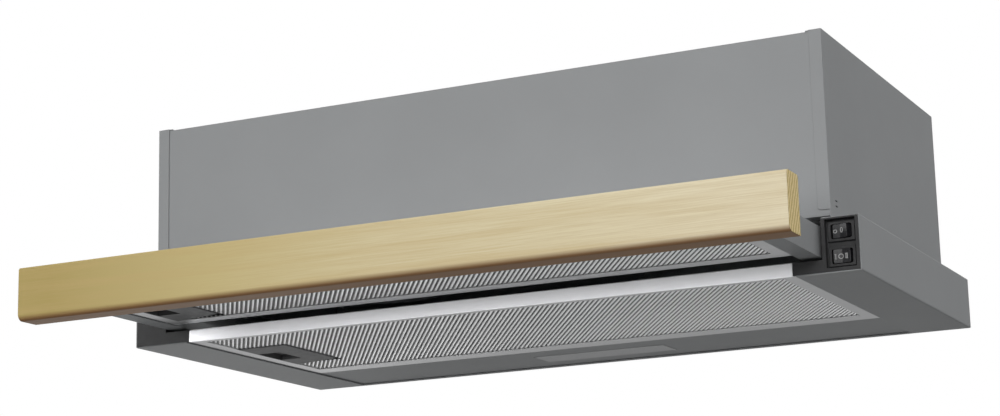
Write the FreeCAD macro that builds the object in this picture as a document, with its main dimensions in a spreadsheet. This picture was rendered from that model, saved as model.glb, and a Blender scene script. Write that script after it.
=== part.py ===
"""Pull-out range hood, 60 cm, built into a wall cabinet.

Lengths are millimetres. +X is the hood's right seen from the front, -Y is its front, +Z is up.
The sub-parts are drawn from the front plane of the canopy (Y = 0) and from its underside (Z = 0),
and are then shifted along Y, so that the origin is the centre of the base with the drawer out.
"""
import FreeCAD, Part
import math
import os
import Sketcher

SIZES = {
    # whole hood
    "canopywide": 600,      # lower box, the width of the cabinet
    "canopydeep": 289,
    "canopyhigh": 40,
    "casingin": 20,         # upper box, goes up into the cabinet: its side in from the canopy's
    "casingback": 2,        # its rear in front of the canopy's rear
    "bodyhigh": 176.5,      # underside to the casing's top
    "drawerout": 130,       # grip bar's rear face to the canopy's front, as stored
    "sheet": 0.8,           # steel sheet
    "seam": 0.1,            # between sheets that are screwed together
    "play": 0.3,            # between pieces that move past each other
    # casing
    "casingfront": 0.4,     # side flanges' front face, behind the canopy's front
    "frontflange": 9.5,
    "flangefoot": 45.5,     # lower end of the side panels' front flanges
    "flangeround": 2.5,
    "rearflange": 14,
    "topflange": 12,
    "footflange": 18,
    "frontfoot": 41,        # front panel's lower edge
    "fronttuck": 12,        # front panel's flange, turned back
    "frontdrop": 1,         # front panel's top below the side panels' top
    "topturn": 12,          # top panel's flange, turned down behind the front
    "slitlong": 5,
    "slitwide": 1,
    "slitstart": 12,
    "slitlow": 49.1,
    "slitpitch": 3.8,
    # canopy
    "channelwide": 47.7,    # side channels' underside; the filter's bay lies between them
    "baylip": 10,
    "topledge": 27.5,       # side channels' top flange
    "canopybend": 1.2,
    "edgehole": 2.5,        # holes in the side channels' top flange, for the cabinet's screws
    "edgeholein": 10,
    "edgeholefront": 60,
    "edgeholeback": 69,     # the rear one, in front of the canopy's rear
    "reartuck": 3.8,
    # front band and rail
    "bandgap": 0.2,         # between the band's ends and the caps
    "bandlow": 0.4,
    "bandhigh": 9.6,
    "bandthick": 1.1,
    "bandsoft": 0.44,
    "railledge": 10.8,
    "railtop": 10.2,
    # end caps
    "capwide": 28,          # the caps' tall part, from the canopy's side
    "captoewide": 50,       # the caps' low part
    "captoehigh": 10,
    "capthick": 2.5,
    "capskirt": 26,
    "captoeskirt": 12,
    "capwall": 1.5,
    # switches
    "switchin": 14.3,       # switches' middle, in from the canopy's side
    "lightmid": 29.5,
    "fanmid": 11.7,
    "recesswide": 21.9,     # recess in the housing, which both bezels lie in
    "recesslow": 3.6,
    "recesstop": 38.2,
    "recessdeep": 4.8,
    "bezelset": 3,
    "bezelwide": 19.6,
    "bezelhigh": 14.2,
    "bezelround": 0.5,
    "switchwide": 17.6,
    "switchhigh": 12.6,
    "switchdeep": 20,
    "wellwide": 15.2,
    "wellhigh": 10.4,
    "wellround": 1.4,
    "welldeep": 8,
    "rockerpivot": 7,
    "rockerwide": 14.4,
    "rockerhigh": 9.8,
    "rockerround": 1.2,
    "lightcrest": 5.2,      # crests of the raised ends, from the middle
    "fancrest": 6.1,
    "rockerend": 5.2,       # raised ends in front of the pivot
    "rockermid": 4.5,
    "rockershoulder": 0.6,  # foot of the slanted ends in front of the pivot
    "rockerback": 1.6,
    "rockerpin": 1,
    "rockerpinlong": 11.4,
    "lighttilt": 8,
    "pinplay": 0.06,
    # lamp panel, tray and lamp
    "lampzone": 83.5,       # from the filter's rear to the canopy's
    "lampgap": 0.9,
    "lampfloor": 1.2,
    "lampledge": 8.4,
    "lampledgetop": 10.1,
    "lampturn": 18,
    "coverwide": 117,
    "coverdeep": 30,
    "covershift": 0.7,      # cover's middle in front of the lamp zone's
    "coverlow": 0.9,
    "coverthick": 2,
    "coverrim": 1.5,
    "coverplay": 0.5,
    "traywide": 144,
    "traydeep": 42,
    "trayhigh": 33,
    "traywall": 0.6,
    "trayrim": 6,
    "bulbaxis": 18.5,
    "bulbradius": 11,
    "bulblong": 70,
    "bulbcap": 6.8,
    "bulbcaplong": 20,
    "holderradius": 12.5,
    "holderlong": 26,
    "holderstart": 66,
    # filters
    "filterborder": 11,
    "filterfrontborder": 7.5,
    "filterrearborder": 18.5,
    "slidefilterborder": 11.9,
    "filtergap": 0.8,       # between a cassette's sides and what it lies between
    "filterwall": 0.7,
    "filterhigh": 8,
    "facemesh": 0.4,        # expanded sheet on both faces
    "coremesh": 0.2,        # finer expanded sheets between them
    "corelayers": 5,
    "mainlow": 1,
    "mainfront": 2.5,
    "slidefilterlow": 13,
    "slidefilterfront": 129.5,
    "slidefilterrear": 12.9,
    "filterclear": 0.8,     # between a cassette's top and the pieces over it
    "tabwide": 14,
    "tabthick": 1.2,
    "tabup": 4.6,
    "tabout": 3.4,
    "tabinset": 42,
    # latches
    "latchwide": 43.4,
    "latchlong": 92,
    "latchslant": 11,       # the housing's rear edge
    "latchproud": 0.2,
    "latchskin": 1,         # thin walls round the finger pocket
    "latchopen": 20,
    "latchcavity": 25.8,    # room behind the skin, for the rib's travel
    "latchpocketlong": 36,
    "latchceiling": 7.1,
    "latchslidehigh": 1.8,
    "latchslidelow": 4.2,
    "latchreach": 33,
    "latchplate": 19.2,
    "latchrib": 3,
    "tonguewide": 16,
    "maintongue": 0.4,
    "slidetongue": 3.4,
    "springwire": 0.5,
    "springhigh": 1.4,
    # drawer
    "barthick": 22,
    "barlow": 0.5,
    "barhigh": 40,
    "barround": 5,
    "barsoft": 2.5,
    "sidein": 30,           # drawer sides' outer face, in from the canopy's side
    "sidelow": 12.2,
    "sidehigh": 22.5,
    "sideback": 152,
    "sidetop": 10,
    "sidefoot": 14.7,
    "sidelip": 8.5,
    "bracketleg": 16,
    "bracketfoot": 11.5,
    "crossfoot": 12.4,
    "barscrews": 4,
    "barscrewpitch": 150,
    "barscrewup": 30,
    # slides
    "slidestart": 32,
    "slideback": 3,
    "innerlong": 118,
    "innerhigh": 13,
    "outerhigh": 24,
    "slidemid": 22.75,
    "slidesheet": 1.2,
    "innerdeep": 7.2,
    "slidein": 19,          # fixed members' outer face, in from the canopy's side
    "outerdeep": 8.7,
    "ballradius": 2.1,
    "ballin": 6,            # balls' middle, in from the fixed members' outer face
    "cagestart": 98,
    "cagelong": 50,
    "cagesheet": 0.6,
    "cageplay": 0.5,
    "cagehole": 2.3,
    "cageballs": 3,
    "ballpitch": 15,
    "bracketlong": 22,
    "bracketfront": 84,
    "bracketback": 49,
    # outlet
    "outletmid": 170,
    "spigotradius": 60,
    "spigotwall": 2,
    "spigothigh": 25,
    "spigottaper": 3,
    "spigotflange": 11,
    "spigotflangethick": 2.5,
    "flapseat": 3.5,
    "flapseatthick": 2,
    "flapradius": 56.5,
    "flapthick": 1,
    "flapedge": 3,
    "flapaxis": 5.3,        # flap pin above the top panel's underside flange
    "flappin": 1.25,
    "flapbarrel": 2.6,
    "flapknuckle": 22,
    "flapgap": 1,
    # blower
    "fanin": 128,           # impeller axis, in from the casing's left side
    "fanspan": 152,         # from the impeller axis to the outlet's
    "fany": 127,
    "tongueangle": 42,
    "scrollstart": 84,      # first quarter of the volute, later ones grow by the step
    "scrollstep": 10,
    "scrollwall": 2,
    "scrollhigh": 80,
    "scrollhalf": 40,       # where the two halves of the volute meet, below its roof
    "motorroom": 38.8,      # from the volute's roof to the top panel
    "inletradius": 58,
    "inletlip": 5,
    "inletflare": 1.5,
    "neckwall": 3,
    "motorhole": 20,
    "postradius": 5,
    "impellerradius": 70,
    "impellerinner": 57,
    "impellerup": 8,        # above the volute's floor
    "impellerhigh": 60,
    "impellerplate": 1.6,
    "impellerring": 3,
    "blades": 32,
    "bladethick": 1.1,
    "bladebulge": 2.75,
    "bladesweep": 4,        # degrees
    "hubradius": 14,
    "hubhigh": 22,
    "shaftradius": 4,
    "shaftdown": 10.8,      # shaft's end below the top panel
    "motorradius": 42,
    "motorfoot": 52,
    "motorfootthick": 2,
    "motordown": 2.8,       # motor's end below the top panel
    "motorsoft": 4,
    "motorplay": 0.5,
    "motorboss": 16,
    "bushradius": 6,
    "bushhigh": 4,
    "bushring": 46,
    "bushes": 3,
    # electrics
    "boxmid": 180,
    "boxfront": 110,
    "boxwide": 110,
    "boxdeep": 80,
    "boxhigh": 42,
    "boxwall": 2,
    "boxround": 3,
    "capacitorradius": 14,
    "capacitorlong": 52,
    "capacitorgap": 11,     # between the control box and the capacitor
    "glandx": 180,
    "glandgap": 4,          # between the capacitor and the gland's nut
    "glandradius": 8,
    "glandbore": 4,
    "glandflange": 12,
    "glandthick": 3,
    # screws
    "screwshank": 1.9,
    "screwlong": 9,
    "screwhead": 3.8,
    "screwheadhigh": 1.8,
    "screwplay": 0.15,
}


class Term:
    """A number that carries the sheet expression it comes from."""

    def __init__(self, text, number):
        self.text = text
        self.number = number

    def joined(self, sign, other, number):
        return Term("(%s %s %s)" % (self.text, sign, other.text), number)

    def __add__(self, other):
        other = term(other)
        return self.joined("+", other, self.number + other.number)

    def __radd__(self, other):
        return term(other) + self

    def __sub__(self, other):
        other = term(other)
        return self.joined("-", other, self.number - other.number)

    def __rsub__(self, other):
        return term(other) - self

    def __mul__(self, other):
        other = term(other)
        return self.joined("*", other, self.number * other.number)

    def __rmul__(self, other):
        return term(other) * self

    def __truediv__(self, other):
        other = term(other)
        return self.joined("/", other, self.number / other.number)

    def __neg__(self):
        return term(0) - self


def term(value):
    """A plain number as a Term; a Term stays as it is."""
    if isinstance(value, Term):
        return value
    return Term(repr(float(value)), float(value))


class Sheet:
    """The driving dimensions, each as a Term under its alias."""


doc = FreeCAD.newDocument("hood")
sheet = doc.addObject("Spreadsheet::Sheet", "Dims")
d = Sheet()
for row, (alias, value) in enumerate(SIZES.items(), 1):
    sheet.set("A%d" % row, alias)
    sheet.set("B%d" % row, str(value))
    sheet.setAlias("B%d" % row, alias)
    setattr(d, alias, Term("Dims." + alias, value))
doc.recompute()

FRONT_SHIFT = -(d.canopydeep - d.barthick - d.drawerout) / 2
SUBPARTS = []


# ---------------------------------------------------------------- drawing helpers

def bind(feature, path, value):
    """Ties one property of a feature to the sheet."""
    feature.setExpression(path, term(value).text)


def keep(feature, label, at=(0, 0, 0)):
    """Names a finished sub-part and sets it at its place, shifted to the hood's origin."""
    feature.Label = label
    for axis, value in zip("xyz", (at[0], FRONT_SHIFT + at[1], at[2])):
        bind(feature, ".Placement.Base." + axis, value)
    SUBPARTS.append(feature)
    return feature


def new_body(name):
    return doc.addObject("PartDesign::Body", name)


def new_sketch(body, plane, level):
    """An empty sketch on one of the body's origin planes, moved along X, Y or Z to a level."""
    sketch = body.newObject("Sketcher::SketchObject", "Sketch")
    for feature in body.Origin.OriginFeatures:
        if feature.Role == plane + "_Plane":
            sketch.AttachmentSupport = [(feature, "")]
    sketch.MapMode = "FlatFace"
    along = -term(level) if plane == "XZ" else term(level)
    sketch.AttachmentOffset = FreeCAD.Placement(FreeCAD.Vector(0, 0, along.number), FreeCAD.Rotation())
    bind(sketch, ".AttachmentOffset.Base.z", along)
    return sketch


def pin_down(sketch, edge, corner, axis, value):
    """Holds a point of an edge at a distance from the sketch's origin."""
    kind = "DistanceX" if axis == 0 else "DistanceY"
    index = sketch.addConstraint(Sketcher.Constraint(kind, -1, 1, edge, corner, value.number))
    sketch.renameConstraint(index, "size%d" % index)
    bind(sketch, "Constraints.size%d" % index, value)


def draw_outline(sketch, points):
    """A closed outline of straight edges; edges along the axes are held level or upright."""
    points = [(term(u), term(v)) for u, v in points]
    places = [FreeCAD.Vector(u.number, v.number, 0) for u, v in points]
    edges = []
    for start, end in zip(places, places[1:] + places[:1]):
        edges.append(sketch.addGeometry(Part.LineSegment(start, end), False))
    for edge, following in zip(edges, edges[1:] + edges[:1]):
        sketch.addConstraint(Sketcher.Constraint("Coincident", edge, 2, following, 1))
    for number, (point, edge) in enumerate(zip(points, edges)):
        before = points[number - 1]
        for axis, level in ((0, "Vertical"), (1, "Horizontal")):
            if number and point[axis].text == before[axis].text:
                sketch.addConstraint(Sketcher.Constraint(level, edges[number - 1]))
            else:
                pin_down(sketch, edge, 1, axis, point[axis])


def draw_circles(sketch, circles):
    """Circles given by centre and radius."""
    for u, v, radius in circles:
        u, v, radius = term(u), term(v), term(radius)
        centre = FreeCAD.Vector(u.number, v.number, 0)
        upward = FreeCAD.Vector(0, 0, 1)
        edge = sketch.addGeometry(Part.Circle(centre, upward, radius.number), False)
        index = sketch.addConstraint(Sketcher.Constraint("Radius", edge, radius.number))
        sketch.renameConstraint(index, "size%d" % index)
        bind(sketch, "Constraints.size%d" % index, radius)
        pin_down(sketch, edge, 3, 0, u)
        pin_down(sketch, edge, 3, 1, v)


def raise_sketch(body, sketch, plane, low, high):
    """Adds the sketch's area from one level to a higher one."""
    pad = body.newObject("PartDesign::Pad", "Pad")
    pad.Profile = sketch
    pad.Reversed = plane == "XZ"
    pad.Length = (term(high) - low).number
    bind(pad, "Length", term(high) - low)
    return pad


def sink_sketch(body, sketch, plane, low, high):
    """Takes the sketch's area away from one level to a higher one."""
    pocket = body.newObject("PartDesign::Pocket", "Pocket")
    pocket.Profile = sketch
    pocket.Reversed = plane != "XZ"
    pocket.Length = (term(high) - low).number
    bind(pocket, "Length", term(high) - low)
    return pocket


def add(body, plane, low, high, points):
    sketch = new_sketch(body, plane, low)
    draw_outline(sketch, points)
    return raise_sketch(body, sketch, plane, low, high)


def add_discs(body, plane, low, high, circles):
    sketch = new_sketch(body, plane, low)
    draw_circles(sketch, circles)
    return raise_sketch(body, sketch, plane, low, high)


def cut(body, plane, low, high, points):
    sketch = new_sketch(body, plane, low)
    draw_outline(sketch, points)
    return sink_sketch(body, sketch, plane, low, high)


def cut_discs(body, plane, low, high, circles):
    sketch = new_sketch(body, plane, low)
    draw_circles(sketch, circles)
    return sink_sketch(body, sketch, plane, low, high)


def area(left, right, low, high):
    """The four corners of an upright rectangle."""
    return [(left, low), (right, low), (right, high), (left, high)]


def handed(side, points):
    """An outline drawn for the right-hand side, mirrored for the left when side is -1."""
    return [(u * side, v) for u, v in points]


def turn(body, points):
    """A solid of revolution about the body's own Z axis, from an outline in its XZ plane."""
    sketch = new_sketch(body, "XZ", 0)
    draw_outline(sketch, points)
    ring = body.newObject("PartDesign::Revolution", "Revolution")
    ring.Profile = sketch
    ring.ReferenceAxis = (sketch, ["V_Axis"])
    ring.Angle = 360
    return ring


def round_edges(body, radius, chosen):
    """Fillets the edges whose middle point passes the test."""
    doc.recompute()
    base = body.Tip
    names = []
    for number, edge in enumerate(base.Shape.Edges, 1):
        middle = edge.valueAt((edge.FirstParameter + edge.LastParameter) / 2)
        if chosen(edge, middle):
            names.append("Edge%d" % number)
    fillet = body.newObject("PartDesign::Fillet", "Fillet")
    fillet.Base = (base, names)
    fillet.Radius = term(radius).number
    bind(fillet, "Radius", radius)
    return fillet


def near(one, other):
    return abs(one - term(other).number) < 0.01


def box(xs, ys, zs):
    """A Part box between three pairs of levels."""
    block = doc.addObject("Part::Box", "Box")
    for path, axis, (low, high) in zip(("Length", "Width", "Height"), "xyz", (xs, ys, zs)):
        bind(block, path, term(high) - low)
        bind(block, ".Placement.Base." + axis, low)
    return block


def rod(radius, length, at, axis="Z"):
    """A Part cylinder from a point along an axis."""
    cylinder = doc.addObject("Part::Cylinder", "Cylinder")
    bind(cylinder, "Radius", radius)
    bind(cylinder, "Height", length)
    turns = {"X": ((0, 1, 0), 90), "Y": ((1, 0, 0), -90), "Z": ((0, 0, 1), 0)}
    about, angle = turns[axis]
    cylinder.Placement.Rotation = FreeCAD.Rotation(FreeCAD.Vector(*about), angle)
    for name, value in zip("xyz", at):
        bind(cylinder, ".Placement.Base." + name, value)
    return cylinder


def fused(pieces):
    whole = doc.addObject("Part::MultiFuse", "Fusion")
    whole.Shapes = pieces
    return whole


def grouped(pieces):
    """Several solids kept apart under one name."""
    group = doc.addObject("Part::Compound", "Group")
    group.Links = pieces
    return group


def less(base, tool):
    rest = doc.addObject("Part::Cut", "Cut")
    rest.Base = base
    rest.Tool = tool
    return rest


# ---------------------------------------------------------------- shared levels

canopy_half = d.canopywide / 2
casing_half = canopy_half - d.casingin
bay_half = canopy_half - d.channelwide
cap_toe = canopy_half - d.captoewide
side_outer = canopy_half - d.sidein
main_rear = d.canopydeep - d.lampzone
casing_foot = d.canopyhigh + 2 * d.seam
casing_rear = d.canopydeep - d.casingback
panel_back = casing_rear - d.sheet                      # inner face of the back panel
front_face = d.casingfront + d.sheet + d.seam           # front panel's outer face
top_low = d.bodyhigh - 2 * d.sheet - d.seam             # top panel's underside
top_high = top_low + d.sheet
canopy_inner = canopy_half - d.sheet
screw_hole = d.screwshank + d.screwplay
capacitor_mid = d.boxfront + d.boxdeep + d.capacitorgap + d.capacitorradius
gland_y = capacitor_mid + d.capacitorradius + d.glandgap + d.glandflange
fan_x = casing_half - d.fanin
outlet_x = d.fanspan - fan_x
scroll_roof = top_low - d.motorroom
scroll_split = scroll_roof - d.scrollhalf
scroll_floor = scroll_roof - d.scrollhigh
impeller_low = scroll_floor + d.impellerup
shaft_top = top_low - d.shaftdown
PAST = 1                                                # a cutting solid's reach past what it cuts


def post_centres():
    """The volute's posts, between the motor's foot and the scroll's rim."""
    diagonal = (d.motorfoot + d.scrollstart) / 2 * math.sqrt(0.5)
    return [(-fan_x - diagonal, d.fany - diagonal), (-fan_x - diagonal, d.fany + diagonal),
            (-fan_x + diagonal, d.fany - diagonal)]


def flange_screws():
    """Four screws round the outlet's flange."""
    ring = d.spigotradius + d.spigotflange / 2
    diagonal = ring * math.sqrt(0.5)
    return [(outlet_x + side * diagonal, d.outletmid + way * diagonal) for side in (1, -1) for way in (1, -1)]


def back_screws():
    """Heights of the screws that hold the back panel, the same on both sides."""
    step = (d.bodyhigh - d.canopyhigh) / 4
    return [d.canopyhigh + step * number for number in (1, 2, 3)]


# ---------------------------------------------------------------- casing

def side_panel(name, side):
    """Folded sheet: wall, front flange over the front panel, rear, top and foot flanges."""
    outer = casing_half
    inner = outer - d.sheet
    rear = panel_back - d.seam
    lip = d.casingfront + d.sheet
    body = new_body(name)
    plan = [(outer, d.casingfront), (outer, rear), (outer - d.rearflange, rear),
            (outer - d.rearflange, rear - d.sheet), (inner, rear - d.sheet), (inner, lip),
            (outer - d.frontflange, lip), (outer - d.frontflange, d.casingfront)]
    add(body, "XY", casing_foot, d.bodyhigh, handed(side, plan))
    foot = area(outer - d.frontflange, inner, casing_foot, d.flangefoot)
    cut(body, "XZ", d.casingfront, lip, handed(side, foot))
    top = area(outer - d.topflange, inner, lip + d.seam, rear - d.sheet)
    add(body, "XY", d.bodyhigh - d.sheet, d.bodyhigh, handed(side, top))
    ledge = area(outer - d.footflange, inner, lip + d.fronttuck + 2 * d.sheet, rear - d.sheet)
    add(body, "XY", casing_foot, casing_foot + d.sheet, handed(side, ledge))
    across = side * (outer - d.rearflange / 2)
    cut_discs(body, "XZ", rear - d.sheet, rear, [(across, height, screw_hole) for height in back_screws()])
    for number in range(2):
        low = d.slitlow + number * d.slitpitch
        slit = area(d.slitstart, d.slitstart + d.slitlong, low, low + d.slitwide)
        if side > 0:
            cut(body, "YZ", inner, outer, slit)
        else:
            cut(body, "YZ", -outer, -inner, slit)
    corner = side * (outer - d.frontflange)
    round_edges(body, d.flangeround, lambda edge, middle: near(middle.x, corner) and near(middle.z, d.flangefoot))
    return keep(body, name)


def front_panel():
    body = new_body("front_panel")
    top = d.bodyhigh - d.frontdrop
    profile = [(front_face, d.frontfoot), (front_face, top), (front_face + d.sheet, top),
               (front_face + d.sheet, d.frontfoot + d.sheet), (front_face + d.fronttuck, d.frontfoot + d.sheet),
               (front_face + d.fronttuck, d.frontfoot)]
    reach = casing_half - d.sheet - d.seam
    add(body, "YZ", -reach, reach, profile)
    return keep(body, "front_panel")


def top_panel():
    body = new_body("top_panel")
    start = front_face + d.sheet + d.seam
    rear = panel_back - d.sheet - 2 * d.seam
    profile = [(start, top_high), (start, top_high - d.topturn), (start + d.sheet, top_high - d.topturn),
               (start + d.sheet, top_low), (rear, top_low), (rear, top_high)]
    reach = casing_half - d.sheet - d.seam
    add(body, "YZ", -reach, reach, profile)
    holes = [(u, v, screw_hole) for u, v in post_centres() + flange_screws()]
    holes.append((outlet_x, d.outletmid, d.spigotradius - d.spigotwall + d.seam))
    holes.append((d.glandx, gland_y, d.glandradius))
    cut_discs(body, "XY", top_low, top_high, holes)
    return keep(body, "top_panel")


def back_panel():
    """One sheet from the casing's top down behind the lamp panel."""
    body = new_body("back_panel")
    tail = canopy_half - d.topledge - d.seam
    profile = [(-tail, d.baylip + 1), (tail, d.baylip + 1), (tail, casing_foot), (casing_half, casing_foot),
               (casing_half, d.bodyhigh), (-casing_half, d.bodyhigh), (-casing_half, casing_foot),
               (-tail, casing_foot)]
    add(body, "XZ", panel_back, casing_rear, profile)
    across = casing_half - d.rearflange / 2
    holes = [(side * across, height, screw_hole) for side in (-1, 1) for height in back_screws()]
    cut_discs(body, "XZ", panel_back, casing_rear, holes)
    return keep(body, "back_panel")


# ---------------------------------------------------------------- canopy

def tab_places(front, rear):
    """Where a filter's two tabs lie along Y."""
    return [front + d.tabinset, rear - d.tabinset]


def canopy_side(name, side):
    """Folded channel: outer wall, top flange, underside and the lip that frames the filter bay."""
    body = new_body(name)
    foot = bay_half + d.sheet
    profile = [(canopy_half, 0), (canopy_half, d.canopyhigh), (canopy_half - d.topledge, d.canopyhigh),
               (canopy_half - d.topledge, d.canopyhigh - d.sheet), (canopy_inner, d.canopyhigh - d.sheet),
               (canopy_inner, d.sheet), (foot, d.sheet), (foot, d.baylip), (bay_half, d.baylip), (bay_half, 0)]
    add(body, "XZ", 0, d.canopydeep, handed(side, profile))
    rear = d.canopydeep - d.sheet - d.seam
    cut(body, "XZ", rear, d.canopydeep, handed(side, area(bay_half, canopy_inner, 0, d.canopyhigh)))
    front = area(bay_half, foot, d.sheet, d.baylip)
    cut(body, "XZ", 0, d.capthick + d.seam, handed(side, front))
    if side > 0:
        for place in tab_places(d.mainfront, main_rear):
            slot = area(place - d.tabwide / 2 - d.play, place + d.tabwide / 2 + d.play,
                        d.mainlow + d.tabup - d.play, d.baylip - d.sheet)
            cut(body, "YZ", bay_half, foot, slot)
    across = side * (canopy_half - d.edgeholein)
    holes = [(across, along, d.edgehole) for along in (d.edgeholefront, d.canopydeep - d.edgeholeback)]
    cut_discs(body, "XY", d.canopyhigh - d.sheet, d.canopyhigh, holes)
    heights = (0, d.canopyhigh)
    round_edges(body, d.canopybend, lambda edge, middle: near(abs(middle.x), canopy_half)
                and any(near(middle.z, height) for height in heights) and edge.Length > d.canopyhigh.number)
    return keep(body, name)


def canopy_rear():
    body = new_body("canopy_rear")
    wall = d.canopydeep - d.sheet
    reach = canopy_inner - d.seam
    add(body, "XZ", wall, d.canopydeep, area(-reach, reach, d.sheet + d.seam, d.canopyhigh - d.sheet - d.seam))
    half = bay_half - d.seam
    foot = [(wall - d.reartuck, d.seam), (d.canopydeep, d.seam), (d.canopydeep, d.baylip), (wall, d.baylip),
            (wall, d.sheet + d.seam), (wall - d.reartuck, d.sheet + d.seam)]
    add(body, "YZ", -half, half, foot)
    return keep(body, "canopy_rear")


def front_rail():
    body = new_body("front_rail")
    face = d.bandthick + d.seam
    profile = [(face, d.sheet + d.seam), (face + d.sheet, d.sheet + d.seam), (face + d.sheet, d.railtop - d.sheet),
               (face + d.railledge, d.railtop - d.sheet), (face + d.railledge, d.railtop), (face, d.railtop)]
    reach = cap_toe - d.seam
    add(body, "YZ", -reach, reach, profile)
    return keep(body, "front_rail")


def front_band():
    """Brushed aluminium strip across the front, with softened long edges."""
    body = new_body("front_band")
    half = cap_toe - d.bandgap
    add(body, "YZ", -half, half, area(0, d.bandthick, d.bandlow, d.bandhigh))
    round_edges(body, d.bandsoft, lambda edge, middle: near(middle.x, 0) and near(middle.y, 0))
    return keep(body, "front_band")


switch_mid = canopy_half - d.switchin


def end_cap(name, side, switches):
    """Moulded end piece of one side channel; the right one carries the switches."""
    body = new_body(name)
    inside = d.sheet + d.seam
    top = d.canopyhigh - inside
    outer = canopy_half - inside
    inner = canopy_half - d.capwide
    face = [(cap_toe, inside), (outer, inside), (outer, top), (inner, top), (inner, d.captoehigh),
            (cap_toe, d.captoehigh)]
    add(body, "XZ", 0, d.capthick, handed(side, face))
    skirt = area(inner, inner + d.capwall, d.captoehigh - d.capwall, top)
    add(body, "XZ", d.capthick, d.capskirt, handed(side, skirt))
    floor = area(bay_half + d.sheet + d.seam, inner + d.capwall, d.captoehigh - d.capwall, d.captoehigh)
    add(body, "XZ", d.capthick, d.captoeskirt, handed(side, floor))
    lid = area(inner, outer, top - d.capwall, top)
    add(body, "XZ", d.capthick, d.captoeskirt, handed(side, lid))
    if switches:
        switch_recess(body, switches, top)
    return keep(body, name)


def switch_recess(body, switches, top):
    """One recess for both bezels, with a hole in its floor for each switch."""
    left, right = switch_mid - d.recesswide / 2, switch_mid + d.recesswide / 2
    floor = d.recessdeep + d.capwall
    add(body, "XZ", d.capthick, floor, area(left - d.capwall, right + d.capwall, d.recesslow - d.capwall, top))
    cut(body, "XZ", 0, d.recessdeep, area(left, right, d.recesslow, d.recesstop))
    half = d.switchwide / 2 + d.seam
    rise = d.switchhigh / 2 + d.seam
    for height in switches:
        hole = area(switch_mid - half, switch_mid + half, height - rise, height + rise)
        cut(body, "XZ", d.recessdeep, floor, hole)


# ---------------------------------------------------------------- switches

def switch_body(name, height):
    """Snap-in switch: bezel on the recess's floor, body behind it, a well for the rocker."""
    body = new_body(name)
    half, rise = d.bezelwide / 2, d.bezelhigh / 2
    back = d.recessdeep - d.seam
    add(body, "XZ", d.bezelset, back, area(-half, half, -rise, rise))
    add(body, "XZ", back, back + d.switchdeep,
        area(-d.switchwide / 2, d.switchwide / 2, -d.switchhigh / 2, d.switchhigh / 2))
    cut(body, "XZ", d.bezelset, d.bezelset + d.welldeep,
        area(-d.wellwide / 2, d.wellwide / 2, -d.wellhigh / 2, d.wellhigh / 2))
    reach = d.rockerpinlong / 2 + d.play
    cut_discs(body, "XY", -reach, reach, [(0, d.rockerpivot, d.rockerpin + d.pinplay)])
    round_edges(body, d.wellround, lambda edge, middle: near(abs(middle.x), d.wellwide / 2)
                and near(abs(middle.z), d.wellhigh / 2))
    round_edges(body, d.bezelround, lambda edge, middle: near(middle.y, d.bezelset)
                and (near(abs(middle.x), half) or near(abs(middle.z), rise)))
    return keep(body, name, (switch_mid, 0, height))


def rocker(name, height, tilt, crest):
    """Rocker drawn about its own pivot: two raised, slanted ends, a lower middle and a pivot pin."""
    body = new_body(name)
    half = d.rockerwide / 2
    end, shoulder, back = -d.rockerend, -d.rockershoulder, d.rockerback
    outline = [(-half, shoulder), (-crest, end), (0, -d.rockermid), (crest, end), (half, shoulder), (half, 0),
               (half / 2, back), (-half / 2, back), (-half, 0)]
    add(body, "XY", -d.rockerhigh / 2, d.rockerhigh / 2, outline)
    round_edges(body, d.rockerround, lambda edge, middle: near(abs(middle.z), d.rockerhigh / 2)
                and (near(abs(middle.x), half) or near(abs(middle.x), (half + crest) / 2)))
    add_discs(body, "XY", -d.rockerpinlong / 2, d.rockerpinlong / 2, [(0, 0, d.rockerpin)])
    keep(body, name, (switch_mid, d.rockerpivot, height))
    bind(body, ".Placement.Rotation.Angle", tilt)
    return body


# ---------------------------------------------------------------- lamp

lamp_start = main_rear + d.lampgap
cover_mid = (lamp_start + d.canopydeep) / 2 - d.covershift
cover_rear = cover_mid + d.coverdeep / 2
cover_front = cover_mid - d.coverdeep / 2
lamp_back = panel_back - d.seam


def lamp_panel():
    """Sheet behind the filter: ledge over the filter's edge, step, floor and rear flange."""
    body = new_body("lamp_panel")
    low = d.lampfloor
    step = lamp_start
    profile = [(step, low), (lamp_back, low), (lamp_back, low + d.lampturn), (lamp_back - d.sheet, low + d.lampturn),
               (lamp_back - d.sheet, low + d.sheet), (step + d.sheet, low + d.sheet), (step + d.sheet, d.lampledgetop),
               (step - d.lampledge, d.lampledgetop), (step - d.lampledge, d.lampledgetop - d.sheet),
               (step, d.lampledgetop - d.sheet)]
    half = bay_half - 2 * d.play
    add(body, "YZ", -half, half, profile)
    hole = area(-d.coverwide / 2 - d.coverplay, d.coverwide / 2 + d.coverplay,
                cover_front - d.coverplay, cover_rear + d.coverplay)
    cut(body, "XY", low, low + d.sheet, hole)
    return keep(body, "lamp_panel")


def lamp_tray():
    """Reflector tray on the lamp panel, open below."""
    body = new_body("lamp_tray")
    low = d.lampfloor + d.sheet + d.seam
    half = d.traywide / 2
    front = cover_mid - d.traydeep / 2
    rear = cover_mid + d.traydeep / 2
    add(body, "XY", low, low + d.trayhigh, area(-half, half, front, rear))
    add(body, "XY", low, low + d.traywall, area(-half - d.trayrim, half + d.trayrim, front - d.trayrim,
                                                 rear + d.trayrim))
    cut(body, "XY", low, low + d.trayhigh - d.traywall,
        area(-half + d.traywall, half - d.traywall, front + d.traywall, rear - d.traywall))
    return keep(body, "lamp_tray")


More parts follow.
